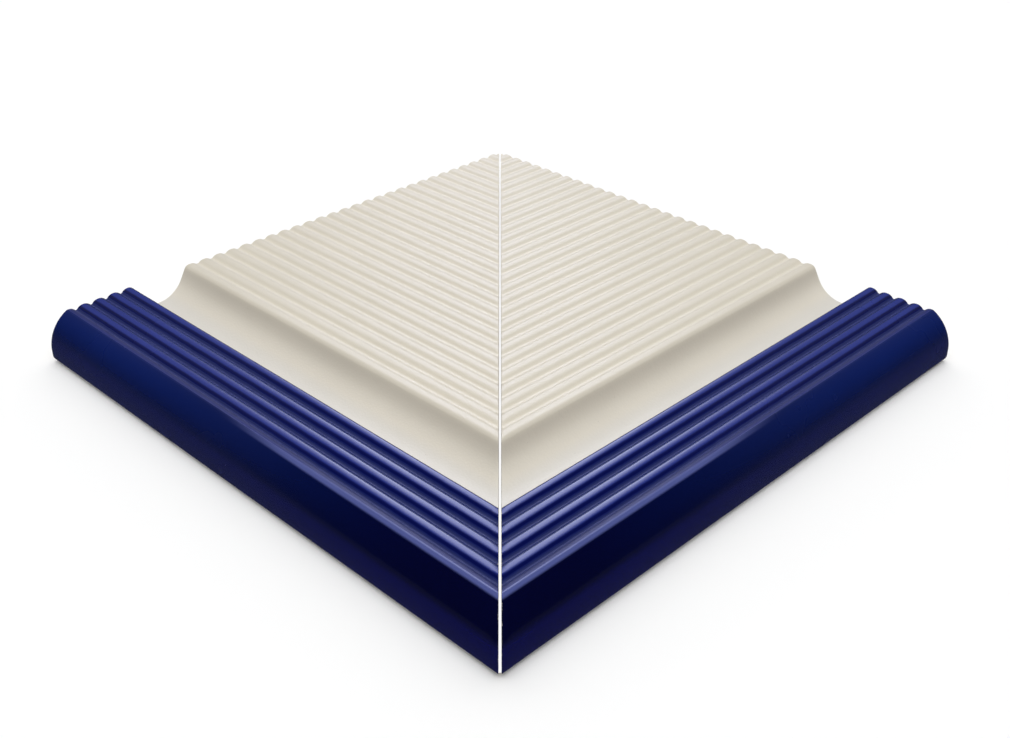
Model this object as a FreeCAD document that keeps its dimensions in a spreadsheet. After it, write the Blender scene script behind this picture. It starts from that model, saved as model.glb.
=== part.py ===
import FreeCAD, Part
import math
import os
import Sketcher

# Outside corner of a pool edge: two mitred halves of one ribbed grip tile, set tip to tip.
# Millimetres and degrees. "From the nose" is measured inward from the foremost plane of the nose.
sizes = {
    "side": 244.0,             # nose to back, and tip to free end
    "joint": 0.9,              # gap left open along the mitre
    "platform_height": 20.0,   # underside to the tops of the platform ridges
    "deck_height": 19.4,       # underside to the tops of the grip ribs
    "belly_height": 4.9,       # height at which the nose is foremost
    "crown_cut": 1.7,          # how far the deck lies below the top of the nose circle
    "shoulder_radius": 1.8,    # rounding from the nose onto the first rib
    "foot_radius": 2.8,        # rounding under the nose
    "rib_count": 5,
    "rib_pitch": 6.5,
    "rib_depth": 1.4,
    "rib_land": 0.4,           # level strip on top of each grip rib
    "rib_hollow": 0.15,        # share of the two wave radii that the hollow has
    "lip_radius": 2.3,         # rounding from the last rib into the channel
    "channel_flat": 3.2,       # level strip of the channel floor between its rounded sides
    "channel_floor": 8.1,      # underside to the channel floor
    "wall_lean": 12.0,         # outer wall of the channel, off upright
    "wall_foot_radius": 6.0,
    "riser_slope": 60.0,       # inner side of the channel, off level
    "riser_foot_radius": 13.0,
    "platform_radius": 2.5,    # rounding of the platform edge
    "edge_ridge": 5.5,         # platform edge to the middle of the first groove
    "ridge_pitch": 6.68,
    "ridge_depth": 1.0,
    "ridge_land": 0.6,         # level strip on top of each platform ridge
    "ridge_hollow": 0.3,       # share of the two wave radii that the hollow has
    "key_pitch": 12.0,         # keying grooves of the underside, for the mortar
    "key_depth": 1.2,
    "key_width": 6.0,          # width of a keying groove at its mouth
    "key_taper": 0.7,          # how much narrower each side of it is at its bottom
    "key_margin": 14.0,        # nose to the middle of the first keying groove
    "overrun": 4.0,            # how far a cutter reaches past what it cuts
}

# Sizes that follow from the ones above.
worked_sizes = {
    "nose_radius": "deck_height - belly_height + crown_cut",
    "first_rib": "nose_radius - sqrt(crown_cut * (2 * (nose_radius - shoulder_radius) - crown_cut))",
    "rib_half_wave": "(rib_pitch - rib_land) / 2",
    "first_hollow": "first_rib + rib_pitch / 2",
    "last_rib": "first_rib + (rib_count - 1) * rib_pitch",
    "lip": "last_rib + rib_land / 2 + lip_radius * tan((90 - wall_lean) / 2)",
    "wall_foot": "lip + (deck_height - channel_floor) * tan(wall_lean)",
    "riser_foot": "wall_foot + wall_foot_radius / tan((90 + wall_lean) / 2) + channel_flat"
                  " + riser_foot_radius * tan(riser_slope / 2)",
    "platform_edge": "riser_foot + (platform_height - channel_floor) / tan(riser_slope)",
    "first_groove": "platform_edge + edge_ridge",
    "groove_count": "floor((side - first_groove) / ridge_pitch) + 1",
    "ridge_half_wave": "(ridge_pitch - ridge_land) / 2",
    "key_count": "floor((side - 2 * key_margin) / key_pitch) + 1",
    "mitre_setback": "joint / sqrt(2)",
}

doc = FreeCAD.newDocument("pool_edge_corner")
sheet = doc.addObject("Spreadsheet::Sheet", "sizes")
cells = {alias: str(value) for alias, value in sizes.items()}
cells.update({alias: "=" + formula for alias, formula in worked_sizes.items()})
for row, (alias, content) in enumerate(cells.items(), start=1):
    sheet.set("A%d" % row, alias)
    sheet.set("B%d" % row, content)
    sheet.setAlias("B%d" % row, alias)
doc.recompute()
start, end, centre = range(1, 4)  # how a sketch numbers the points of an item
up = FreeCAD.Vector(0, 0, 1)


def size(alias):
    return float(getattr(sheet, alias))


def add_sketch(body, name, plane):
    """An empty sketch on one of the body's own origin planes."""
    sketch = body.newObject("Sketcher::SketchObject", name)
    origin_plane = [part for part in body.Origin.OriginFeatures if part.Role == plane][0]
    sketch.AttachmentSupport = [(origin_plane, "")]
    sketch.MapMode = "FlatFace"
    return sketch


def add_lines(sketch, points):
    """A chain of lines through the points; gives their numbers."""
    vectors = [FreeCAD.Vector(x, y, 0) for x, y in points]
    return [sketch.addGeometry(Part.LineSegment(a, b), False) for a, b in zip(vectors, vectors[1:])]


def add_arc(sketch, middle, radius, first_angle, last_angle):
    """An arc drawn counterclockwise between two angles."""
    circle = Part.Circle(FreeCAD.Vector(middle[0], middle[1], 0), up, radius)
    arc = Part.ArcOfCircle(circle, math.radians(first_angle), math.radians(last_angle))
    return sketch.addGeometry(arc, False)


def tie(sketch, kind, *items):
    """A constraint that has no size."""
    sketch.addConstraint(Sketcher.Constraint(kind, *items))


def hold(sketch, name, constraint, formula):
    """A constraint whose size follows the sheet."""
    number = sketch.addConstraint(constraint)
    sketch.renameConstraint(number, name)
    sketch.setExpression("Constraints." + name, formula)


def pin(sketch, name, item, point, across=None, above=None):
    """Hold a point off the sketch's origin, sideways, upward or both; the formulas give plain lengths."""
    place = sketch.getPoint(item, point)
    for kind, distance, formula in (("DistanceX", place.x, across), ("DistanceY", place.y, above)):
        if formula:
            ends = (-1, start, item, point) if distance > 0 else (item, point, -1, start)
            hold(sketch, name + kind[-1], Sketcher.Constraint(kind, *ends, abs(distance)), formula)


def join_ends(sketch, kind, chain):
    """Join each item's end to the next one's start, and the last one's to the first."""
    for item, following in zip(chain, chain[1:] + chain[:1]):
        tie(sketch, kind, item, end, following, start)


def add_section(body):
    """The tile's cross-section: nose, rib deck, channel and platform, before the ribs are cut."""
    sketch = add_sketch(body, "section", "YZ_Plane")
    foot, belly, shoulder = size("foot_radius"), size("belly_height"), size("shoulder_radius")
    nose, crest, deck = size("nose_radius"), size("first_rib"), size("deck_height")
    floor, top, side = size("channel_floor"), size("platform_height"), size("side")
    turn = math.degrees(math.atan2(deck - shoulder - belly, crest - nose))
    foot_arc = add_arc(sketch, (foot, foot), foot, 180, 270)
    nose_arc = add_arc(sketch, (nose, belly), nose, turn, 180)
    shoulder_arc = add_arc(sketch, (crest, deck - shoulder), shoulder, 90, turn)
    face, = add_lines(sketch, [(0, belly), (0, foot)])
    outline = [(crest, deck), (size("lip"), deck), (size("wall_foot"), floor), (size("riser_foot"), floor),
               (size("platform_edge"), top), (side, top), (side, 0), (foot, 0)]
    lines = add_lines(sketch, outline)
    deck_line, wall, floor_line, riser, platform, back, underside = lines
    for line, following in zip(lines, lines[1:]):
        tie(sketch, "Coincident", line, end, following, start)
    tie(sketch, "Tangent", underside, end, foot_arc, end)
    tie(sketch, "Tangent", foot_arc, start, face, end)
    tie(sketch, "Tangent", face, start, nose_arc, end)
    tie(sketch, "Tangent", nose_arc, start, shoulder_arc, end)
    tie(sketch, "Tangent", shoulder_arc, start, deck_line, start)
    for level in (deck_line, floor_line, platform, underside):
        tie(sketch, "Horizontal", level)
    tie(sketch, "Vertical", face)
    tie(sketch, "Vertical", back)
    tie(sketch, "PointOnObject", underside, start, -1)
    tie(sketch, "PointOnObject", face, start, -2)
    hold(sketch, "foot", Sketcher.Constraint("Radius", foot_arc, foot), "sizes.foot_radius")
    hold(sketch, "shoulder", Sketcher.Constraint("Radius", shoulder_arc, shoulder), "sizes.shoulder_radius")
    hold(sketch, "nose", Sketcher.Constraint("Radius", nose_arc, nose), "sizes.nose_radius")
    pin(sketch, "belly", face, start, above="sizes.belly_height")
    pin(sketch, "lip", wall, start, "sizes.lip", "sizes.deck_height")
    pin(sketch, "wall_foot", floor_line, start, "sizes.wall_foot", "sizes.channel_floor")
    pin(sketch, "riser_foot", riser, start, "sizes.riser_foot")
    pin(sketch, "platform_edge", platform, start, "sizes.platform_edge", "sizes.platform_height")
    pin(sketch, "side", back, start, "sizes.side")
    return sketch


def add_hollow(body, name, middle, half_wave, depth, share, height):
    """The wavy cutter between two ridge tops: a rounded hollow with half a rounded ridge on each side."""
    sketch = add_sketch(body, name + "_outline", "YZ_Plane")
    x, w, d, z = [size(alias) for alias in (middle, half_wave, depth, height)]
    both_radii = (w * w + d * d) / (2 * d)
    hollow = both_radii * size(share)
    ridge = both_radii - hollow
    slope = math.degrees(math.asin(w / both_radii))
    clear = z + size("overrun")
    left = add_arc(sketch, (x - w, z - ridge), ridge, 90 - slope, 90)
    bottom = add_arc(sketch, (x, z - d + hollow), hollow, 270 - slope, 270 + slope)
    right = add_arc(sketch, (x + w, z - ridge), ridge, 90, 90 + slope)
    lines = add_lines(sketch, [(x - w, z), (x - w, clear), (x + w, clear), (x + w, z)])
    near, cover, far = lines
    tie(sketch, "Coincident", left, end, near, start)
    tie(sketch, "Coincident", near, end, cover, start)
    tie(sketch, "Coincident", cover, end, far, start)
    tie(sketch, "Coincident", far, end, right, start)
    tie(sketch, "Tangent", left, start, bottom, start)
    tie(sketch, "Tangent", bottom, end, right, end)
    tie(sketch, "Vertical", near)
    tie(sketch, "Vertical", far)
    tie(sketch, "Horizontal", cover)
    tie(sketch, "Vertical", left, centre, left, end)
    tie(sketch, "Vertical", right, centre, right, start)
    middle, half_wave, depth, share, height = ["sizes." + alias for alias in
                                               (middle, half_wave, depth, share, height)]
    pin(sketch, "near", near, start, middle + " - " + half_wave, height)
    pin(sketch, "far", far, end, middle + " + " + half_wave, height)
    pin(sketch, "cover", cover, start, above=height + " + sizes.overrun")
    radius = "(%s ^ 2 + %s ^ 2) / (2 * %s) * %s" % (half_wave, depth, depth, share)
    hold(sketch, "hollow", Sketcher.Constraint("Radius", bottom, hollow), radius)
    pin(sketch, "middle", bottom, centre, middle, "%s - %s + %s" % (height, depth, radius))
    return sketch


def add_key(body):
    """One keying groove of the underside, a shallow trapezium."""
    sketch = add_sketch(body, "key_outline", "YZ_Plane")
    x, half, depth, taper = size("key_margin"), size("key_width") / 2, size("key_depth"), size("key_taper")
    low = -size("overrun")
    outline = [(x - half, 0), (x - half + taper, depth), (x + half - taper, depth), (x + half, 0),
               (x + half, low), (x - half, low), (x - half, 0)]
    lines = add_lines(sketch, outline)
    near, roof, far, right, bottom, left = lines
    join_ends(sketch, "Coincident", lines)
    for level in (roof, bottom):
        tie(sketch, "Horizontal", level)
    for upright in (right, left):
        tie(sketch, "Vertical", upright)
    tie(sketch, "PointOnObject", near, start, -1)
    tie(sketch, "PointOnObject", far, end, -1)
    pin(sketch, "near", near, start, "sizes.key_margin - sizes.key_width / 2")
    pin(sketch, "far", far, end, "sizes.key_margin + sizes.key_width / 2")
    pin(sketch, "roof_near", roof, start, "sizes.key_margin - sizes.key_width / 2 + sizes.key_taper",
        "sizes.key_depth")
    pin(sketch, "roof_far", roof, end, "sizes.key_margin + sizes.key_width / 2 - sizes.key_taper")
    pin(sketch, "reach", bottom, start, above="sizes.overrun")
    return sketch


def add_mitre(body, tip_far):
    """The half of the square beyond the mitre, with half of the joint; the tip is at the far end or not."""
    sketch = add_sketch(body, "mitre_outline", "XY_Plane")
    side, past, setback = size("side"), size("overrun"), size("mitre_setback")
    if tip_far:
        tip_x, back_x, outer_x = side - setback + past, -setback - past, side + 3 * past
        tip_formula = "sizes.side - sizes.mitre_setback + sizes.overrun"
        back_formula = "sizes.mitre_setback + sizes.overrun"
        outer_formula = "sizes.side + 3 * sizes.overrun"
    else:
        tip_x, back_x, outer_x = setback - past, side + setback + past, -3 * past
        tip_formula = "sizes.overrun - sizes.mitre_setback"
        back_formula = "sizes.side + sizes.mitre_setback + sizes.overrun"
        outer_formula = "3 * sizes.overrun"
    tip, back = (tip_x, -past), (back_x, side + past)
    lines = add_lines(sketch, [tip, (outer_x, -past), (outer_x, side + past), back, tip])
    front, outer, rear, diagonal = lines
    join_ends(sketch, "Coincident", lines)
    tie(sketch, "Horizontal", front)
    tie(sketch, "Vertical", outer)
    tie(sketch, "Horizontal", rear)
    pin(sketch, "tip", front, start, tip_formula, "sizes.overrun")
    pin(sketch, "back", diagonal, start, back_formula, "sizes.side + sizes.overrun")
    pin(sketch, "outer", outer, start, outer_formula)
    return sketch


def add_fillet(body, name, place, radius):
    """Round the long edge that runs the tile's length at a place across and above."""
    base = body.Tip
    across, above = size(place[0]), size(place[1])
    for number, edge in enumerate(base.Shape.Edges, start=1):
        box = edge.BoundBox
        if box.YLength < 0.01 and abs(box.YMin - across) < 0.01 and abs(box.ZMin - above) < 0.01:
            fillet = body.newObject("PartDesign::Fillet", name)
            fillet.Base = (base, ["Edge%d" % number])
            fillet.setExpression("Radius", "sizes." + radius)
            doc.recompute()
            return
    raise RuntimeError("no edge for " + name)


def cut(body, name, sketch):
    """A pocket right through the body from the sketch's plane."""
    base = body.Tip
    pocket = body.newObject("PartDesign::Pocket", name)
    pocket.Profile = sketch
    pocket.Type = "ThroughAll"
    pocket.Reversed = True
    doc.recompute()
    if pocket.Shape.Volume > base.Shape.Volume - 1:
        raise RuntimeError(name + " cuts nothing")
    return pocket


def repeat(body, name, pocket, sketch, count, pitch):
    """Copies of a pocket inward from the nose."""
    pattern = body.newObject("PartDesign::LinearPattern", name)
    pattern.Originals = [pocket]
    pattern.Direction = (sketch, ["H_Axis"])
    pattern.setExpression("Occurrences", count)
    pattern.setExpression("Length", "(%s - 1) * %s" % (count, pitch))
    body.Tip = pattern
    doc.recompute()
    if pattern.Shape.Volume > pocket.Shape.Volume - 1:
        raise RuntimeError(name + " cuts nothing")


def add_tile(label, tip_far):
    """One fired half: the section run along the nose, rounded, ribbed, keyed and cut to the mitre."""
    body = doc.addObject("PartDesign::Body", label)
    body.Label = label
    run = body.newObject("PartDesign::Pad", "run")
    run.Profile = add_section(body)
    run.setExpression("Length", "sizes.side")
    body.Tip = run
    doc.recompute()
    add_fillet(body, "lip_rounding", ("lip", "deck_height"), "lip_radius")
    add_fillet(body, "wall_foot_rounding", ("wall_foot", "channel_floor"), "wall_foot_radius")
    add_fillet(body, "riser_foot_rounding", ("riser_foot", "channel_floor"), "riser_foot_radius")
    add_fillet(body, "platform_rounding", ("platform_edge", "platform_height"), "platform_radius")
    hollow = add_hollow(body, "rib", "first_hollow", "rib_half_wave", "rib_depth", "rib_hollow", "deck_height")
    repeat(body, "ribs", cut(body, "rib_cut", hollow), hollow, "sizes.rib_count - 1", "sizes.rib_pitch")
    groove = add_hollow(body, "ridge", "first_groove", "ridge_half_wave", "ridge_depth", "ridge_hollow",
                        "platform_height")
    repeat(body, "ridges", cut(body, "ridge_cut", groove), groove, "sizes.groove_count", "sizes.ridge_pitch")
    key = add_key(body)
    repeat(body, "keys", cut(body, "key_cut", key), key, "sizes.key_count", "sizes.key_pitch")
    cut(body, "mitre", add_mitre(body, tip_far))
    return body


# The left tile's nose faces -Y and the right one's +X; the square stands centred on the origin.
left = add_tile("left_mitred_tile", True)
left.setExpression("Placement.Base.x", "-sizes.side / 2")
left.setExpression("Placement.Base.y", "-sizes.side / 2")
right = add_tile("right_mitred_tile", False)
right.Placement.Rotation = FreeCAD.Rotation(up, 90)
right.setExpression("Placement.Base.x", "sizes.side / 2")
right.setExpression("Placement.Base.y", "-sizes.side / 2")
doc.recompute()

for item in doc.Objects:
    if "Invalid" in item.State or "Error" in item.State:
        raise RuntimeError(item.Name + " failed")
os.makedirs("parts", exist_ok=True)
for tile in (left, right):
    shape = tile.Shape
    if shape.isNull() or not shape.isValid() or len(shape.Solids) != 1:
        raise RuntimeError(tile.Label + " is not one sound solid")
    shape.exportStep("parts/%s.step" % tile.Label)
    print("%s: %.0f mm3, %d faces" % (tile.Label, shape.Volume, len(shape.Faces)))
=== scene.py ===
# Pool edge tile: the outside corner of two mitred tiles, in metres, in the CAD's own frame.
# Each CAD tile is replaced by a finer mesh of the same section that carries the two glazes.
import math

import bmesh
import bpy
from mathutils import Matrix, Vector, noise


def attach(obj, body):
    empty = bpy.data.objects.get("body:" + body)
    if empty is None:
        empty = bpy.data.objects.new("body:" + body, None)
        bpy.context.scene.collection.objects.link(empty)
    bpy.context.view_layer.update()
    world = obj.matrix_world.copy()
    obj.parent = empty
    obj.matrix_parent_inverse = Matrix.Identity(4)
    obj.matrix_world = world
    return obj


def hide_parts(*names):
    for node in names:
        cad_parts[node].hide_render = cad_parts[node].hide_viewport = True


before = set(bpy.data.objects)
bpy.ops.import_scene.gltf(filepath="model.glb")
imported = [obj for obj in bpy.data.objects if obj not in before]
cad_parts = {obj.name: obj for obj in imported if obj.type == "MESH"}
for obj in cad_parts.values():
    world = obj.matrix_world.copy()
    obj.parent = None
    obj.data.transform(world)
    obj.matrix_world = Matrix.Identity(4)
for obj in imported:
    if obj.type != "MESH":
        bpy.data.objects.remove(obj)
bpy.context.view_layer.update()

mm = 0.001

# The tile's section in millimetres: lengths run in from the nose, heights up from the floor
tile = {
    "side": 244.0,
    "joint": 0.9,
    "platformHeight": 20.0,
    "deckHeight": 19.4,
    "bellyHeight": 4.9,
    "crownCut": 1.7,
    "shoulderRadius": 1.8,
    "footRadius": 2.8,
    "ribCount": 5,
    "ribPitch": 6.5,
    "ribDepth": 1.4,
    "ribLand": 0.4,
    "ribHollow": 0.15,
    "lipRadius": 2.3,
    "channelFlat": 3.2,
    "channelFloor": 8.1,
    "wallLean": 12.0,
    "wallFootRadius": 6.0,
    "riserSlope": 60.0,
    "riserFootRadius": 13.0,
    "platformRadius": 2.5,
    "edgeRidge": 5.5,
    "ridgePitch": 6.68,
    "ridgeDepth": 1.0,
    "ridgeLand": 0.6,
    "ridgeHollow": 0.3,
    "keyPitch": 12.0,
    "keyDepth": 1.2,
    "keyWidth": 6.0,
    "keyTaper": 0.7,
    "keyMargin": 14.0,
    "keyRadius": 0.6,
}

# How finely the mesh follows the section, and how far the firing moved it
making = {
    "noseStep": 2.2,       # degrees from point to point
    "ribStep": 6.5,
    "ridgeStep": 8.5,
    "coveStep": 8.0,
    "rings": 68,           # along a tile
    "arrisSteps": 4,
    "endArris": 0.28,      # mm, rounded by the glaze
    "sawnArris": 0.08,     # mm, only eased after the saw
    "arrisShare": 0.3,     # at most, of a ridge's length near the back tip
    "tipWidth": 0.8,       # mm of back tip left off
    "glazeEdge": 0.2,      # mm the glaze runs over the back tip
    "leastStep": 0.02,     # mm between two points of the section
    "warp": 0.11,          # mm at most, always inwards
    "warpLength": 74.0,
    "warpSlant": 1.4,      # times shorter across the tile than along it
    "ripple": 0.022,
    "rippleLength": 17.0,
    "rippleSlant": 2.0,
    "rippleSeed": 31.0,
    "leftSeed": 3.0,       # each tile came out of the kiln a little differently
    "rightSeed": 57.0,
    "cornerPoints": (0.0, 0.35, 0.65, 1.0),  # shares of the way round a keying groove's corner
}

noseRadius = tile["deckHeight"] - tile["bellyHeight"] + tile["crownCut"]
shoulderReach = noseRadius - tile["shoulderRadius"]
firstRib = noseRadius - math.sqrt(tile["crownCut"] * (2 * shoulderReach - tile["crownCut"]))
lastRib = firstRib + (tile["ribCount"] - 1) * tile["ribPitch"]
lipStart = lastRib + tile["ribLand"] / 2
lip = lipStart + tile["lipRadius"] * math.tan(math.radians(90 - tile["wallLean"]) / 2)
channelDrop = tile["deckHeight"] - tile["channelFloor"]
wallFoot = lip + channelDrop * math.tan(math.radians(tile["wallLean"]))
wallCove = tile["wallFootRadius"] / math.tan(math.radians(90 + tile["wallLean"]) / 2)
riserCove = tile["riserFootRadius"] * math.tan(math.radians(tile["riserSlope"]) / 2)
riserFoot = wallFoot + wallCove + tile["channelFlat"] + riserCove
platformRise = tile["platformHeight"] - tile["channelFloor"]
platformEdge = riserFoot + platformRise / math.tan(math.radians(tile["riserSlope"]))
firstGroove = platformEdge + tile["edgeRidge"]
grooveCount = math.floor((tile["side"] - firstGroove) / tile["ridgePitch"]) + 1
keyCount = math.floor((tile["side"] - 2 * tile["keyMargin"]) / tile["keyPitch"]) + 1
mitreSetback = tile["joint"] / math.sqrt(2)
backTip = tile["side"] - mitreSetback - making["tipWidth"]


# Points of an arc, in degrees; it turns clockwise where the second angle is the smaller
def arc(centre, radius, first, last, step):
    count = max(2, math.ceil(abs(last - first) / step))
    turns = [math.radians(first + (last - first) * k / count) for k in range(count + 1)]
    x, z = centre
    return [(x + radius * math.cos(t), z + radius * math.sin(t)) for t in turns]


# One hollow between two crests: a crest's arc, the hollow's arc and the next crest's arc
def hollow(middle, top, halfWave, depth, share, step):
    bothRadii = (halfWave ** 2 + depth ** 2) / (2 * depth)
    hollowRadius = share * bothRadii
    crestRadius = bothRadii - hollowRadius
    slope = math.degrees(math.asin(halfWave / bothRadii))
    before = (middle - halfWave, top - crestRadius)
    bottom = (middle, top - depth + hollowRadius)
    after = (middle + halfWave, top - crestRadius)
    return (arc(before, crestRadius, 90, 90 - slope, step)
            + arc(bottom, hollowRadius, 270 - slope, 270 + slope, step)[1:]
            + arc(after, crestRadius, 90 + slope, 90, step)[1:])


# From under the foot, up the nose and over its shoulder to the first rib
def nose():
    foot = tile["footRadius"]
    shoulder = tile["shoulderRadius"]
    shoulderHeight = tile["deckHeight"] - shoulder
    turn = math.degrees(math.atan2(shoulderHeight - tile["bellyHeight"], firstRib - noseRadius))
    return (arc((foot, foot), foot, 270, 180, making["coveStep"])
            + arc((noseRadius, tile["bellyHeight"]), noseRadius, 180, turn, making["noseStep"])
            + arc((firstRib, shoulderHeight), shoulder, turn, 90, making["coveStep"])[1:])


def gripRibs():
    points = []
    halfWave = (tile["ribPitch"] - tile["ribLand"]) / 2
    for rib in range(tile["ribCount"] - 1):
        middle = firstRib + (rib + 0.5) * tile["ribPitch"]
        points += hollow(middle, tile["deckHeight"], halfWave, tile["ribDepth"],
                         tile["ribHollow"], making["ribStep"])
    return points


# Over the lip, down the leaning wall, across the floor and up the riser to the platform
def channel():
    lean, slope, step = tile["wallLean"], tile["riserSlope"], making["coveStep"]
    low, high = tile["channelFloor"], tile["platformHeight"]
    wallRadius, riserRadius = tile["wallFootRadius"], tile["riserFootRadius"]
    edgeRadius, lipRadius = tile["platformRadius"], tile["lipRadius"]
    edgeCentre = platformEdge + edgeRadius * math.tan(math.radians(slope) / 2)
    return (arc((lipStart, tile["deckHeight"] - lipRadius), lipRadius, 90, lean, step)
            + arc((wallFoot + wallCove, low + wallRadius), wallRadius, 180 + lean, 270, step)
            + arc((riserFoot - riserCove, low + riserRadius), riserRadius, 270, 270 + slope, step)
            + arc((edgeCentre, high - edgeRadius), edgeRadius, 90 + slope, 90, step))


# The grooved platform as far as the back tip
def platform():
    points = []
    halfWave = (tile["ridgePitch"] - tile["ridgeLand"]) / 2
    for groove in range(grooveCount):
        middle = firstGroove + groove * tile["ridgePitch"]
        points += hollow(middle, tile["platformHeight"], halfWave, tile["ridgeDepth"],
                         tile["ridgeHollow"], making["ridgeStep"])
    return [p for p in points if p[0] < backTip]


# A corner of the underside, rounded by a few points
def easedCorner(before, corner, after, radius):
    corner = Vector(corner)
    towards = (Vector(before) - corner).normalized()
    onwards = (Vector(after) - corner).normalized()
    return [tuple(corner + towards * radius * (1 - t) ** 2 + onwards * radius * t ** 2)
            for t in making["cornerPoints"]]


# The flat back with its keying grooves, from the back tip to the foot
def underside():
    corners = [(backTip, 0.0)]
    mouth = tile["keyWidth"] / 2
    root = mouth - tile["keyTaper"]
    for key in reversed(range(keyCount)):
        middle = tile["keyMargin"] + key * tile["keyPitch"]
        corners += [(middle + mouth, 0.0), (middle + root, tile["keyDepth"]),
                    (middle - root, tile["keyDepth"]), (middle - mouth, 0.0)]
    corners.append((tile["footRadius"], 0.0))
    points = [corners[0]]
    for before, corner, after in zip(corners, corners[1:], corners[2:]):
        points += easedCorner(before, corner, after, tile["keyRadius"])
    return points


# The whole section as a closed line, each point marked glazed or bare
def tileOutline():
    glazed = nose() + gripRibs() + channel() + platform()
    bare = [(backTip, glazed[-1][1] - making["glazeEdge"])] + underside()
    outline = []
    for point, isBare in [(p, False) for p in glazed] + [(p, True) for p in bare]:
        if not outline or math.dist(point, outline[-1][0]) > making["leastStep"]:
            outline.append((point, isBare))
    return outline


# The outward direction at each point of a closed line that runs clockwise
def outwards(points):
    directions = []
    for k, point in enumerate(points):
        before = Vector(point) - Vector(points[k - 1])
        after = Vector(points[(k + 1) % len(points)]) - Vector(point)
        along = before.normalized() + after.normalized()
        directions.append(Vector((-along.y, along.x)).normalized())
    return directions


# How far firing pulled the face in at a place on the tile, in millimetres
def firedPull(x, inward, seed):
    slow = Vector((x, inward * making["warpSlant"], seed)) / making["warpLength"]
    quick = Vector((x, inward * making["rippleSlant"], seed + making["rippleSeed"]))
    warp = making["warp"] * (0.5 + 0.5 * noise.noise(slow))
    return warp + making["ripple"] * (0.5 + 0.5 * noise.noise(quick / making["rippleLength"]))


# Each ring: share of the plain length, shares of the end's and the sawn arris, how far it is
# set in, and whether it belongs to the free end's side
def ringPlan():
    steps, rings = making["arrisSteps"], making["rings"]
    turns = [math.pi / 2 * k / steps for k in range(steps)]
    freeEnd = [(0.0, 1 - math.cos(t), 0.0, 1 - math.sin(t), True) for t in turns]
    middle = [(k / rings, 1.0, 0.0, 0.0, True) for k in range(rings + 1)]
    sawn = [(1.0, 1.0, 1 - math.cos(t), 1 - math.sin(t), False) for t in reversed(turns)]
    return freeEnd + middle + sawn


# One ring of a tile's mesh, in metres
def tileRing(ring, points, normals, seed, overDiagonal):
    share, atEnd, atSaw, setIn, isEnd = ring
    half = tile["side"] / 2
    places = []
    for (inward, height), normal in zip(points, normals):
        plain = tile["side"] - inward - mitreSetback
        endArris = min(making["endArris"], making["arrisShare"] * plain)
        sawnArris = min(making["sawnArris"], making["arrisShare"] * plain)
        roughX = endArris + share * (plain - endArris - sawnArris)
        pull = firedPull(roughX, inward, seed) + (endArris if isEnd else sawnArris) * setIn
        a = inward - normal.x * pull
        z = max(height - normal.y * pull, 0.0)
        mitre = tile["side"] - a - mitreSetback
        if isEnd:
            x = endArris * atEnd + share * (mitre - endArris - sawnArris)
        else:
            x = mitre - sawnArris * atSaw
        place = (x - half, a - half)
        if overDiagonal:
            place = (-place[1], -place[0])
        places.append((place[0] * mm, place[1] * mm, z * mm))
    return places


# A tile's mesh, its nose along X, or along Y where it is turned over the diagonal
def sweepTile(name, seed, overDiagonal):
    outline = tileOutline()
    points = [p for p, isBare in outline]
    normals = outwards(points)
    plan = ringPlan()
    vertices = []
    for ring in plan:
        vertices += tileRing(ring, points, normals, seed, overDiagonal)
    count, last = len(points), len(plan) - 1
    faces, kinds = [], []
    for here in range(0, last * count, count):
        there = here + count
        for k in range(count):
            nextPoint = (k + 1) % count
            faces.append((here + k, here + nextPoint, there + nextPoint, there + k))
            kinds.append(1 if outline[k][1] else 0)
    faces.append(tuple(reversed(range(count))))
    faces.append(tuple(range(last * count, (last + 1) * count)))
    kinds += [1, 1]
    if not overDiagonal:
        faces = [tuple(reversed(f)) for f in faces]
    mesh = bpy.data.meshes.new(name)
    mesh.from_pydata(vertices, [], faces)
    for face, kind in zip(mesh.polygons, kinds):
        face.material_index = kind
        face.use_smooth = len(face.vertices) == 4
    mesh.update()
    print(name, "section points", count, "faces", len(faces))
    return mesh


# A shader value: arithmetic on it adds Math nodes
class Value:
    def __init__(self, recipe, node, output):
        self.recipe, self.node, self.output = recipe, node, output

    def socket(self):
        return self.node.outputs[self.output]

    def out(self, output):
        return Value(self.recipe, self.node, output)

    def maths(self, operation, first, second):
        return self.recipe.node("ShaderNodeMath", {"operation": operation}, {0: first, 1: second})

    def __add__(self, other):
        return self.maths("ADD", self, other)

    def __radd__(self, other):
        return self.maths("ADD", other, self)

    def __sub__(self, other):
        return self.maths("SUBTRACT", self, other)

    def __rsub__(self, other):
        return self.maths("SUBTRACT", other, self)

    def __mul__(self, other):
        return self.maths("MULTIPLY", self, other)

    def __rmul__(self, other):
        return self.maths("MULTIPLY", other, self)

    def __truediv__(self, other):
        return self.maths("DIVIDE", self, other)

    def __rtruediv__(self, other):
        return self.maths("DIVIDE", other, self)


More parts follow.
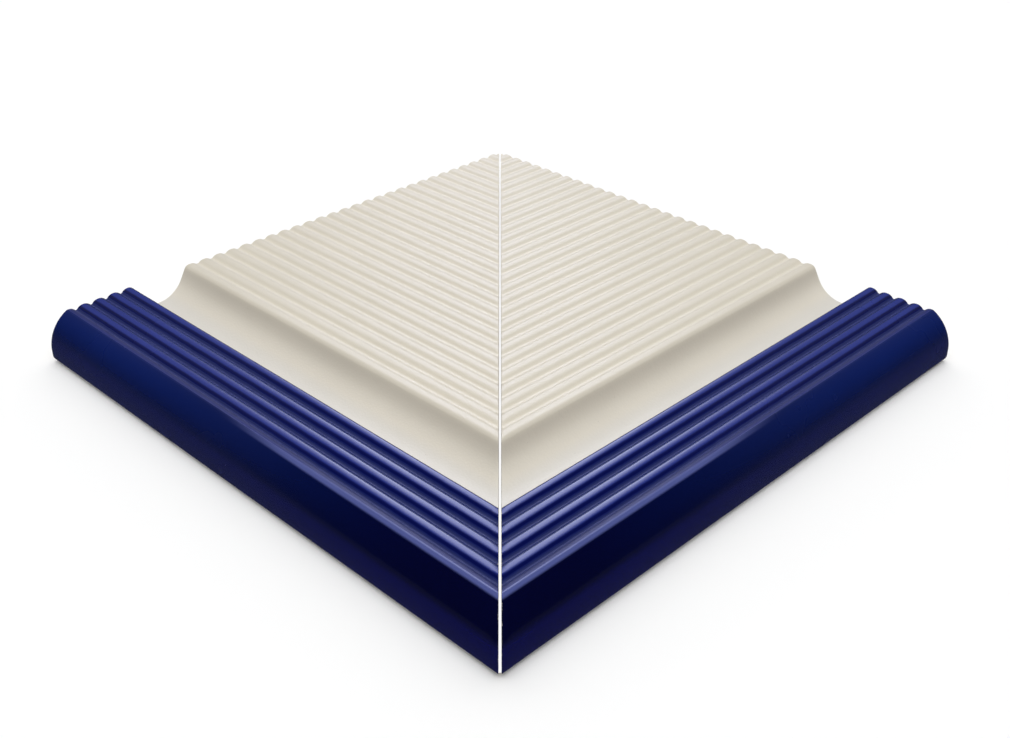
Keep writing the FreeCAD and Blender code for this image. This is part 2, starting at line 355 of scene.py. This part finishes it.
# The nodes of one material or of the world
class Recipe:
    def __init__(self, owner):
        owner.use_nodes = True
        self.tree = owner.node_tree
        self.tree.nodes.clear()

    def node(self, kind, settings=None, inputs=None, output=0):
        made = self.tree.nodes.new(kind)
        for name, setting in (settings or {}).items():
            setattr(made, name, setting)
        for name, value in (inputs or {}).items():
            if isinstance(value, Value):
                self.tree.links.new(value.socket(), made.inputs[name])
            else:
                made.inputs[name].default_value = value
        return Value(self, made, output)

    def least(self, first, second):
        return self.node("ShaderNodeMath", {"operation": "MINIMUM"}, {0: first, 1: second})

    def most(self, first, second):
        return self.node("ShaderNodeMath", {"operation": "MAXIMUM"}, {0: first, 1: second})

    # 0 below the first value, 1 above the second, with soft ends
    def rise(self, value, low, high):
        return self.node("ShaderNodeMapRange", {"interpolation_type": "SMOOTHSTEP"},
                         {"Value": value, "From Min": low, "From Max": high})

    # 1 between the two rises
    def band(self, value, start, end):
        return self.rise(value, *start) * (1 - self.rise(value, *end))

    def between(self, factor, first, second):
        return self.node("ShaderNodeMix", {"data_type": "FLOAT"}, {0: factor, 2: first, 3: second})

    def blend(self, factor, first, second, way="MIX"):
        return self.node("ShaderNodeMix", {"data_type": "RGBA", "blend_type": way},
                         {0: factor, 6: first, 7: second}, output=2)

    # Soft clouds of two shades over a colour
    def clouded(self, colour, cloud, amount, dark, light):
        return self.blend(amount, colour, self.blend(cloud, opaque(dark), opaque(light)), "MULTIPLY")

    # The place on the tile in millimetres, stretched by the given shares
    def place(self, stretch=(1.0, 1.0, 1.0)):
        where = self.node("ShaderNodeTexCoord", output="Object")
        scale = tuple(s / mm for s in stretch)
        return self.node("ShaderNodeVectorMath", {"operation": "MULTIPLY"}, {0: where, 1: scale})

    def grain(self, where, size, detail, roughness):
        return self.node("ShaderNodeTexNoise", {"noise_dimensions": "3D"},
                         {"Vector": where, "Scale": 1 / size, "Detail": detail, "Roughness": roughness},
                         output="Fac")


def opaque(colour):
    return (*colour, 1.0)


# Colours are linear and lengths in millimetres; a pair is where a change starts and ends
glaze = {
    "blueNoseShade": (0.0003, 0.0008, 0.022),    # painted shade on the nose by the mitre
    "blueFootReflection": (0.0015, 0.0020, 0.060),    # its lower part, lighter: a painted floor reflection
    "blueNoseLit": (0.0020, 0.0125, 0.118),     # painted light on the nose towards the free ends
    "blueRimHighlight": (0.085, 0.105, 0.310),       # a painted highlight over the shoulder
    # on the ribs: crests lighter where the glaze thins and partly as a painted highlight, back flanks
    # and hollows a painted reflection
    "blueCrest": (0.016, 0.030, 0.230),
    "blueHollowReflection": (0.018, 0.028, 0.145),
    # painted shade on the ribs' front flanks, over the lip's back and behind the first crest
    "blueFlankShade": (0.0015, 0.0040, 0.075),
    "blueClouds": (0.35, (0.45, 0.45, 0.50), (1.0, 1.0, 1.0)),  # how much, darkest, lightest
    "blueRoughness": 0.10,                  # by the mitre
    "blueEndRoughness": 0.27,               # satin towards the free ends
    "blueUneven": 0.05,
    "dullness": 0.4,                        # added to the roughness in the hollows
    "cream": (0.682, 0.632, 0.528),
    # painted light: lighter in the platform's grooves
    "creamGrooveLight": (0.735, 0.683, 0.573),
    # painted shade at the riser's top, painted light in its cove, then the channel floor
    "creamRiserShade": (0.610, 0.562, 0.480),
    "creamCoveLight": (0.765, 0.718, 0.625),
    "creamFloor": (0.700, 0.672, 0.612),
    "creamClouds": (0.16, (0.72, 0.72, 0.70), (1.1, 1.1, 1.1)),
    "creamRoughness": 0.42,
    "creamUneven": 0.16,
    "speckColour": (0.30, 0.25, 0.18),
    "speckPitch": 4.2,
    "speckSize": (0.02, 0.05),              # shares of the pitch
    "speckStrength": 0.35,
    "bodyColour": (0.640, 0.590, 0.500),
    "bodyRoughness": 0.8,
    "ior": 1.5,
    # noises: size, detail, roughness
    "cloud": (34.0, 3.0, 0.55),
    "mottle": (5.5, 3.0, 0.6),
    "fine": (0.9, 2.0, 0.6),
    "peel": (3.2, 2.0, 0.5),
    "border": (9.0, 2.0, 0.5),
    "chips": (1.3, 3.0, 0.7),
    # heights above the floor
    "footTop": (9.0, 11.5),
    "shoulder": (9.0, 18.5),
    "grooveTop": (18.9, 19.8),
    "floorTop": (8.0, 10.5),
    "coveTop": (11.5, 18.5),
    "borderHeight": 13.6,                   # of the blue on the channel's wall
    "borderEdge": (-0.35, 0.35),
    "borderWander": 1.6,
    "footLine": 0.45,                       # bare below it
    "footEdge": (-0.05, 0.05),
    "footWander": 0.4,
    # lengths in from the nose
    "ribsEnd": (29.5, 30.0),                # blue at any height before it
    "wallEnd": (42.5, 43.0),
    "footReach": (5.0, 5.5),
    "riserEnd": (-1.5, 0.5),                # from the platform's edge
    "lipBack": (-1.2, -0.5),                # from the lip's end; the painted shade over the lip's back starts here
    # lengths in from the first rib's crest
    "rimReach": (-2.0, -1.1),
    "ribsStart": (-0.3, 0.3),
    "firstStart": (-0.1, 0.3),
    "firstEnd": (2.2, 3.0),
    "firstShade": 0.6,                      # how much painted shade lies behind the first crest
    "dullStart": (0.0, 0.5),
    # shares of a rib's pitch: 0 on a crest, 0.5 in the hollow behind it; they place the ribs' painted
    # reflection and painted shade, and the dull hollows
    "hollowStart": (0.08, 0.20),
    "hollowEnd": (0.62, 0.68),
    "flankStart": (0.60, 0.68),
    "flankEnd": (0.76, 0.88),
    "dullRise": (0.36, 0.46),
    "dullFall": (0.54, 0.64),
    "phaseWander": 0.05,
    # distances from the mitre
    "towardsEnd": (10.0, 150.0),
    "endShare": 0.35,                       # of the painted light low on the nose
    "rimFade": (60.0, 95.0),
    "satinRise": (35.0, 95.0),
    "chipLeast": 0.02,
    "chipMost": 0.3,
    "chipShare": (0.55, 0.8),               # of the noise
    "sawnEdge": (-0.04, 0.04),
    # skin, as heights of the bump
    "creamFine": 0.05,
    "creamPeel": 0.05,
    "bluePeel": 0.035,
    "glazeThickness": 0.12,
}


# How far the place of these coordinates lies from the sawn mitre
def awayFromMitre(recipe, parts):
    bothWays = parts.out("X") + parts.out("Y")
    across = recipe.node("ShaderNodeMath", {"operation": "ABSOLUTE"}, {0: bothWays})
    return (across - mitreSetback) / math.sqrt(2)


# The blue glaze's colour, and where it is dull. Its colour holds painted light: painted shade on the
# nose by the mitre and painted light towards the free ends, a painted floor reflection low on the nose,
# a painted highlight on the shoulder, and painted highlights, reflections and shade on the ribs
def blueGlaze(recipe, inward, height, fromMitre, cloud, mottle):
    fromRib = inward - firstRib
    # Painted floor reflection: the nose is lighter blue low down
    foot = recipe.rise(height, *glaze["footTop"])
    front = recipe.blend(foot, opaque(glaze["blueFootReflection"]), opaque(glaze["blueNoseShade"]))
    # Painted light: the nose clears from painted shade by the mitre to a lighter blue towards the free
    # ends, most on its upper part
    upper = glaze["endShare"] + recipe.rise(height, *glaze["shoulder"]) * (1 - glaze["endShare"])
    paintedEndLight = recipe.rise(fromMitre, *glaze["towardsEnd"]) * upper
    front = recipe.blend(paintedEndLight, front, opaque(glaze["blueNoseLit"]))
    # Painted highlight on the shoulder, fading away from the mitre
    rimHighlight = recipe.rise(fromRib, *glaze["rimReach"]) * (1 - recipe.rise(fromMitre, *glaze["rimFade"]))
    front = recipe.blend(rimHighlight, front, opaque(glaze["blueRimHighlight"]))

    # On the ribs: a painted highlight on the crests and a painted reflection on the back flanks and
    # hollows
    phase = recipe.node("ShaderNodeMath", {"operation": "FRACT"}, {0: fromRib / tile["ribPitch"]})
    phase = phase + (mottle - 0.5) * glaze["phaseWander"]
    backFlankReflection = recipe.band(phase, glaze["hollowStart"], glaze["hollowEnd"])
    frontFlankShade = recipe.band(phase, glaze["flankStart"], glaze["flankEnd"])
    behindFirst = recipe.band(fromRib, glaze["firstStart"], glaze["firstEnd"])
    lipShade = recipe.rise(inward - lip, *glaze["lipBack"])
    # Painted shade: the ribs' lower front flanks, over the lip's back and behind the first crest
    darker = recipe.most(recipe.most(frontFlankShade, lipShade), behindFirst * glaze["firstShade"])
    ribs = recipe.blend(backFlankReflection, opaque(glaze["blueCrest"]), opaque(glaze["blueHollowReflection"]))
    ribs = recipe.blend(darker, ribs, opaque(glaze["blueFlankShade"]))
    blue = recipe.blend(recipe.rise(fromRib, *glaze["ribsStart"]), front, ribs)

    dull = recipe.band(phase, glaze["dullRise"], glaze["dullFall"])
    dull = recipe.most(dull * recipe.rise(fromRib, *glaze["dullStart"]), behindFirst)
    return recipe.clouded(blue, cloud, *glaze["blueClouds"]), dull


# The cream glaze's colour on the channel, its riser and the platform, with a few iron specks, and
# painted light and shade: lighter grooves, a darker riser top and a lighter cove
def creamGlaze(recipe, where, inward, height, cloud):
    # Painted light: the platform's grooves are lighter, to soften their shading
    groove = 1 - recipe.rise(height, *glaze["grooveTop"])
    cream = recipe.blend(groove, opaque(glaze["cream"]), opaque(glaze["creamGrooveLight"]))
    # Painted shade and light up the channel: darker at the riser's top, lighter in its cove
    cove = recipe.rise(height, *glaze["floorTop"])
    riserShading = recipe.blend(cove, opaque(glaze["creamFloor"]), opaque(glaze["creamCoveLight"]))
    riserShading = recipe.blend(recipe.rise(height, *glaze["coveTop"]), riserShading, opaque(glaze["creamRiserShade"]))
    cream = recipe.blend(recipe.rise(inward - platformEdge, *glaze["riserEnd"]), riserShading, cream)
    cream = recipe.clouded(cream, cloud, *glaze["creamClouds"])
    speck = recipe.node("ShaderNodeTexVoronoi", {"feature": "F1"},
                        {"Vector": where, "Scale": 1 / glaze["speckPitch"]}, output="Distance")
    specks = (1 - recipe.rise(speck, *glaze["speckSize"])) * glaze["speckStrength"]
    return recipe.blend(specks, cream, opaque(glaze["speckColour"]))


# A fired surface of the given colour, roughness and relief
def firedSurface(recipe, colour, rough, skin):
    bump = recipe.node("ShaderNodeBump", inputs={"Strength": 1.0, "Distance": mm, "Height": skin},
                       output="Normal")
    shader = recipe.node("ShaderNodeBsdfPrincipled", inputs={
        "Base Color": colour, "Roughness": rough, "Normal": bump, "IOR": glaze["ior"]})
    recipe.node("ShaderNodeOutputMaterial", inputs={"Surface": shader})


def glazedFace():
    material = bpy.data.materials.new("glazed stoneware face")
    recipe = Recipe(material)
    where = recipe.place()
    parts = recipe.node("ShaderNodeSeparateXYZ", inputs={0: where})
    inward = recipe.least(parts.out("Y"), 0 - parts.out("X")) + tile["side"] / 2
    height, fromMitre = parts.out("Z"), awayFromMitre(recipe, parts)
    cloud, mottle = recipe.grain(where, *glaze["cloud"]), recipe.grain(where, *glaze["mottle"])
    fine, peel = recipe.grain(where, *glaze["fine"]), recipe.grain(where, *glaze["peel"])

    # Blue covers the nose and ribs and ends part way down the channel's outer wall
    wander = (recipe.grain(where, *glaze["border"]) - 0.5) * glaze["borderWander"]
    onWall = recipe.rise(height - (wander + glaze["borderHeight"]), *glaze["borderEdge"])
    onWall = onWall * (1 - recipe.rise(inward, *glaze["wallEnd"]))
    isBlue = recipe.most(1 - recipe.rise(inward, *glaze["ribsEnd"]), onWall)
    blue, dull = blueGlaze(recipe, inward, height, fromMitre, cloud, mottle)
    cream = creamGlaze(recipe, where, inward, height, cloud)
    colour = recipe.blend(isBlue, cream, blue)

    # The saw leaves the body showing along the mitre, with small chips; the foot stays bare
    chips = recipe.rise(recipe.grain(where, *glaze["chips"]), *glaze["chipShare"])
    chip = glaze["chipLeast"] + chips * glaze["chipMost"]
    sawn = 1 - recipe.rise(fromMitre - chip, *glaze["sawnEdge"])
    uneven = (mottle - 0.5) * glaze["footWander"]
    foot = 1 - recipe.rise(height + uneven - glaze["footLine"], *glaze["footEdge"])
    bare = recipe.most(sawn, foot * (1 - recipe.rise(inward, *glaze["footReach"])))
    colour = recipe.blend(bare, colour, opaque(glaze["bodyColour"]))

    satin = recipe.between(recipe.rise(fromMitre, *glaze["satinRise"]),
                           glaze["blueRoughness"], glaze["blueEndRoughness"])
    satin = satin + dull * glaze["dullness"] + (cloud - 0.5) * glaze["blueUneven"]
    matt = glaze["creamRoughness"] + (fine - 0.5) * glaze["creamUneven"]
    rough = recipe.between(bare, recipe.between(isBlue, matt, satin), glaze["bodyRoughness"])
    creamSkin = fine * glaze["creamFine"] + peel * glaze["creamPeel"]
    skin = recipe.between(isBlue, creamSkin, peel * glaze["bluePeel"]) - bare * glaze["glazeThickness"]
    firedSurface(recipe, colour, rough, skin)
    return material


# The bare fired body under the tile and on its cut faces
body = {
    "grogDark": (0.52, 0.455, 0.36),
    "grogLight": (0.66, 0.60, 0.50),
    "grogShare": (0.35, 0.7),               # of the noise
    "grogHeight": 0.12,
    "clouds": (0.3, (0.7, 0.68, 0.64), (1.1, 1.1, 1.1)),
    "roughness": 0.85,
    "uneven": 0.15,
    "sawStretch": (0.05, 0.05, 1.6),        # long and level marks, close above one another
    "sawHeight": 0.08,
    "sawnEdge": (0.3, 0.5),                 # mm from the mitre
    # noises: size, detail, roughness
    "grog": (0.8, 3.0, 0.65),
    "cloud": (22.0, 2.0, 0.5),
    "sawMarks": (1.0, 2.0, 0.5),
}


def biscuit():
    material = bpy.data.materials.new("bare fired body")
    recipe = Recipe(material)
    where = recipe.place()
    parts = recipe.node("ShaderNodeSeparateXYZ", inputs={0: where})
    grog, cloud = recipe.grain(where, *body["grog"]), recipe.grain(where, *body["cloud"])
    grains = recipe.rise(grog, *body["grogShare"])
    colour = recipe.blend(grains, opaque(body["grogDark"]), opaque(body["grogLight"]))
    colour = recipe.clouded(colour, cloud, *body["clouds"])
    lines = recipe.grain(recipe.place(body["sawStretch"]), *body["sawMarks"])
    sawn = 1 - recipe.rise(awayFromMitre(recipe, parts), *body["sawnEdge"])
    skin = grog * body["grogHeight"] + lines * sawn * body["sawHeight"]
    firedSurface(recipe, colour, body["roughness"] + (grog - 0.5) * body["uneven"], skin)
    return material


def makeTiles():
    finishes = [glazedFace(), biscuit()]
    for name, node, seed, overDiagonal in (
            ("left_glazed_tile", "left_mitred_tile", making["leftSeed"], False),
            ("right_glazed_tile", "right_mitred_tile", making["rightSeed"], True)):
        piece = bpy.data.objects.new(name, sweepTile(name, seed, overDiagonal))
        bpy.context.scene.collection.objects.link(piece)
        for finish in finishes:
            piece.data.materials.append(finish)
        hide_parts(node)
        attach(piece, "root")


# Floor, lamps and what the glaze reflects. A pair is where a change starts and ends; in the
# tent, places are shares of its radius.
studio = {
    "floorSize": 60.0,
    "floorColour": (0.985, 0.985, 0.985),
    "lamps": {             # towards the lamp, its angle in degrees, its light on a level face
        "key": ((0.20, -0.20, 0.96), 70.0, 0.555),
        "back": ((-0.50, 0.50, 0.70), 70.0, 0.165),
    },
    "ambient": 0.32,
    "backdrop": 1.0,
    "sheetNoise": (400.0, 2.0, 0.5),
    "sheetShade": 0.99,
    "stripWidth": 0.85,    # share of the joint
    "stripFront": 2.2,     # mm short of the front tip
    "stripBack": 4.0,      # mm past the back tip
    "stripHeight": 0.05,
    "tentRadius": 0.5,     # m
    "tentSegments": (64, 16),
    "tentHem": 2.0,        # mm inside the tiles' edge
    "tentHeight": 0.1,     # mm, of its card on the floor
    "tentFar": 0.20,
    "tentNear": 0.02,
    "tentFarness": (0.05, 0.6),
    "tentLift": (0.1, 0.5),
    "tentFloor": 0.075,
    "floorCard": (0.003, 0.006),
    "windowLight": 3.3,
    "windowTint": (0.95, 1.00, 1.28),
    "windowCore": (0.05, 0.30, 0.65),  # full to, dark from, share of the light
    "windowGlow": (0.20, 0.46, 0.35),
    "windowFoot": (0.22, 0.42),
    "windowTop": (0.90, 0.97),
    "windowSide": (0.0, 0.2),
}


def stageObject(name, mesh, material):
    made = bpy.data.objects.new(name, mesh)
    bpy.context.scene.collection.objects.link(made)
    mesh.materials.append(material)
    return made


# A plain sheet of one colour, lit by the lamps or, with a strength, by itself
def plainMaterial(name, colour, strength=0):
    material = bpy.data.materials.new(name)
    recipe = Recipe(material)
    shade = recipe.grain(recipe.place(), *studio["sheetNoise"])
    darker = [c * studio["sheetShade"] for c in colour]
    tint = recipe.blend(shade, opaque(darker), opaque(colour))
    if strength:
        shader = recipe.node("ShaderNodeEmission", inputs={"Color": tint, "Strength": strength})
    else:
        shader = recipe.node("ShaderNodeBsdfDiffuse", inputs={"Color": tint})
    recipe.node("ShaderNodeOutputMaterial", inputs={"Surface": shader})
    return material


def layFloor():
    sheet = bmesh.new()
    bmesh.ops.create_grid(sheet, x_segments=8, y_segments=8, size=studio["floorSize"] / 2)
    mesh = bpy.data.meshes.new("floor")
    sheet.to_mesh(mesh)
    sheet.free()
    stageObject("floor", mesh, plainMaterial("pale floor", studio["floorColour"]))


# A glowing white strip under the open joint: painted light, so that the joint shows the ground as light
# where it lies in shade
def layJointStrip():
    half = tile["side"] / 2 * mm
    across = tile["joint"] / 2 * mm * studio["stripWidth"] / math.sqrt(2)
    front, back = half - studio["stripFront"] * mm, half + studio["stripBack"] * mm
    corners = [(front - across, -front - across), (front + across, -front + across),
               (-back + across, back + across), (-back - across, back - across)]
    mesh = bpy.data.meshes.new("joint strip")
    mesh.from_pydata([(x, y, studio["stripHeight"] * mm) for x, y in corners], [], [(0, 1, 2, 3)])
    stageObject("joint_strip", mesh, plainMaterial("glowing white strip", (1.0, 1.0, 1.0), 1.0))


def hangLamps():
    for name, (towards, angle, level) in studio["lamps"].items():
        towards = Vector(towards).normalized()
        light = bpy.data.lights.new(name, "SUN")
        light.angle = math.radians(angle)
        light.energy = level * math.pi / towards.z
        lamp = bpy.data.objects.new(name + " lamp", light)
        bpy.context.scene.collection.objects.link(lamp)
        lamp.location = towards
        lamp.rotation_euler = towards.to_track_quat("Z", "Y").to_euler()
        lamp.visible_glossy = False


def lightWorld():
    world = bpy.data.worlds.new("studio")
    bpy.context.scene.world = world
    recipe = Recipe(world)
    ray = recipe.node("ShaderNodeLightPath")
    seen = recipe.most(recipe.most(ray.out("Is Camera Ray"), ray.out("Is Glossy Ray")),
                       ray.out("Is Transmission Ray"))
    level = recipe.between(seen, studio["ambient"], studio["backdrop"])
    shader = recipe.node("ShaderNodeBackground", inputs={
        "Color": (1.0, 1.0, 1.0, 1.0), "Strength": level})
    recipe.node("ShaderNodeOutputWorld", inputs={"Surface": shader})


# What the glaze reflects: a grey tent with a tall soft window behind the corner
def tentCloth():
    material = bpy.data.materials.new("tent cloth")
    recipe = Recipe(material)
    where = recipe.node("ShaderNodeTexCoord", output="Object")
    parts = recipe.node("ShaderNodeSeparateXYZ", inputs={0: where})
    x, y, z = [parts.out(axis) / studio["tentRadius"] for axis in ("X", "Y", "Z")]
    farness = (y - x) / math.sqrt(2)
    aside = recipe.node("ShaderNodeMath", {"operation": "ABSOLUTE"}, {0: (x + y) / math.sqrt(2)})
    cloth = recipe.rise(farness, *studio["tentFarness"]) * recipe.rise(z, *studio["tentLift"])
    level = studio["tentNear"] + cloth * (studio["tentFar"] - studio["tentNear"])
    panes = [(1 - recipe.rise(aside, fullTo, darkFrom)) * share
             for fullTo, darkFrom, share in (studio["windowCore"], studio["windowGlow"])]
    window = (panes[0] + panes[1]) * recipe.band(z, studio["windowFoot"], studio["windowTop"])
    window = window * recipe.rise(farness, *studio["windowSide"])
    level = level + window * studio["windowLight"]
    onFloor = 1 - recipe.rise(z, *studio["floorCard"])
    level = level * (1 - onFloor) + onFloor * studio["tentFloor"]
    colour = recipe.node("ShaderNodeCombineXYZ", inputs={
        n: level * tint for n, tint in enumerate(studio["windowTint"])})
    shader = recipe.node("ShaderNodeEmission", inputs={"Color": colour, "Strength": 1.0})
    recipe.node("ShaderNodeOutputMaterial", inputs={"Surface": shader})
    return material


# The tent stands over the object, with a square hole for it; only reflections see it
def pitchTent():
    around, up = studio["tentSegments"]
    radius, least = studio["tentRadius"], studio["tentHeight"] * mm
    hem = (tile["side"] / 2 - studio["tentHem"]) * mm
    turns = [(math.cos(math.radians(360 * k / around)), math.sin(math.radians(360 * k / around)))
             for k in range(around)]
    rows = [[(hem * c / max(abs(c), abs(s)), hem * s / max(abs(c), abs(s)), least) for c, s in turns]]
    for k in range(up):
        lift = math.radians(90 * k / up)
        reach, height = radius * math.cos(lift), max(radius * math.sin(lift), least)
        rows.append([(reach * c, reach * s, height) for c, s in turns])
    vertices = [p for row in rows for p in row] + [(0.0, 0.0, radius)]
    top, lastRow = len(vertices) - 1, (len(rows) - 1) * around
    faces = []
    for row in range(0, lastRow, around):
        for k in range(around):
            here, there = row + k, row + (k + 1) % around
            faces.append((here, there, there + around, here + around))
    faces += [(lastRow + k, lastRow + (k + 1) % around, top) for k in range(around)]
    mesh = bpy.data.meshes.new("tent")
    mesh.from_pydata(vertices, [], faces)
    tent = stageObject("tent", mesh, tentCloth())
    tent.visible_camera = False
    tent.visible_diffuse = False
    tent.visible_shadow = False
    tent.visible_transmission = False


# The photograph's view: in front of the tip, on the plane of the mitre
camera = {
    "place": (0.30437, -0.30437, 0.2498),
    "tilt": 59.54,
    "turn": 45.0,
    "lens": 45.87,
    "sensor": 36.0,
    "shift": 0.00495,
    "clip": (0.01, 100.0),  # m
}


def setCamera():
    data = bpy.data.cameras.new("camera")
    data.sensor_fit = "HORIZONTAL"
    data.sensor_width = camera["sensor"]
    data.lens = camera["lens"]
    data.shift_x = camera["shift"]
    data.clip_start, data.clip_end = camera["clip"]
    eye = bpy.data.objects.new("camera", data)
    bpy.context.scene.collection.objects.link(eye)
    eye.location = camera["place"]
    eye.rotation_euler = (math.radians(camera["tilt"]), 0.0, math.radians(camera["turn"]))
    bpy.context.scene.camera = eye


bpy.context.scene.view_settings.view_transform = "Standard"
makeTiles()
print("tiles made")
layFloor()
layJointStrip()
hangLamps()
lightWorld()
pitchTent()
setCamera()
print("studio made")
